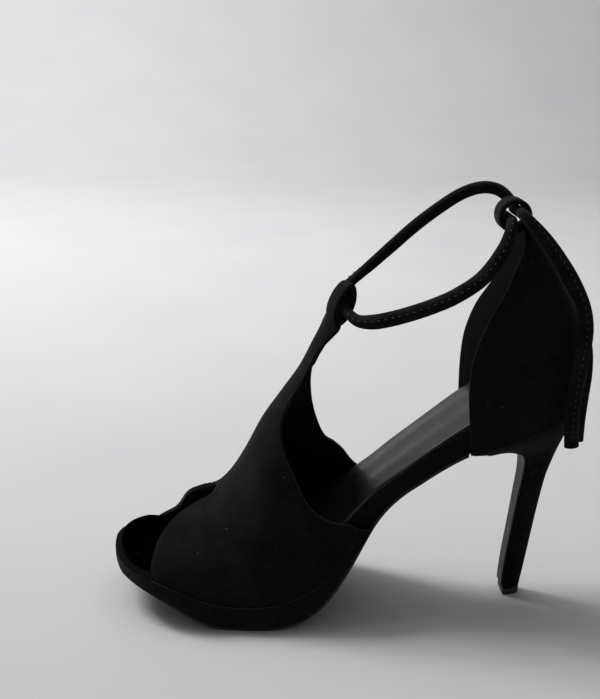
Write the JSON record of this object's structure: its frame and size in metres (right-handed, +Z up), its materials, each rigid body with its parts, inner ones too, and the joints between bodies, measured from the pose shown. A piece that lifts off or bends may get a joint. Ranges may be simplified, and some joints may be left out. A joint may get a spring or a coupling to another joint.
{
  "type": "lace-up peep toe stiletto",
  "caption": "Open-toe high-heeled shoe with a slim covered heel, a thin platform, cut-out sides and an ankle lace that runs through folded loops.",
  "frame": {"origin": "centre of the shoe's box on the floor, without the hanging lace ends", "axes": "+Z up, toe towards -X, outer side of the foot towards -Y"},
  "size_m": [0.2254, 0.0795, 0.1981],
  "materials": {
    "upper_suede": "matte suede nap",
    "lace_suede": "matte suede",
    "sock_leather": "glossy synthetic leather",
    "outsole_resin": "satin",
    "breast_sheet": "smooth gloss",
    "lift_plastic": "satin"
  },
  "bodies": {
    "root": {"outsole": "outsole_resin", "platform": "upper_suede", "insole_board": "upper_suede", "sock": "sock_leather", "vamp": "upper_suede", "counter": "upper_suede", "heel": "upper_suede", "heel_breast": "breast_sheet", "top_lift": "lift_plastic", "lace": "lace_suede", "lace_tail_outer": "lace_suede", "lace_tail_inner": "lace_suede"}
  },
  "joints": []
}
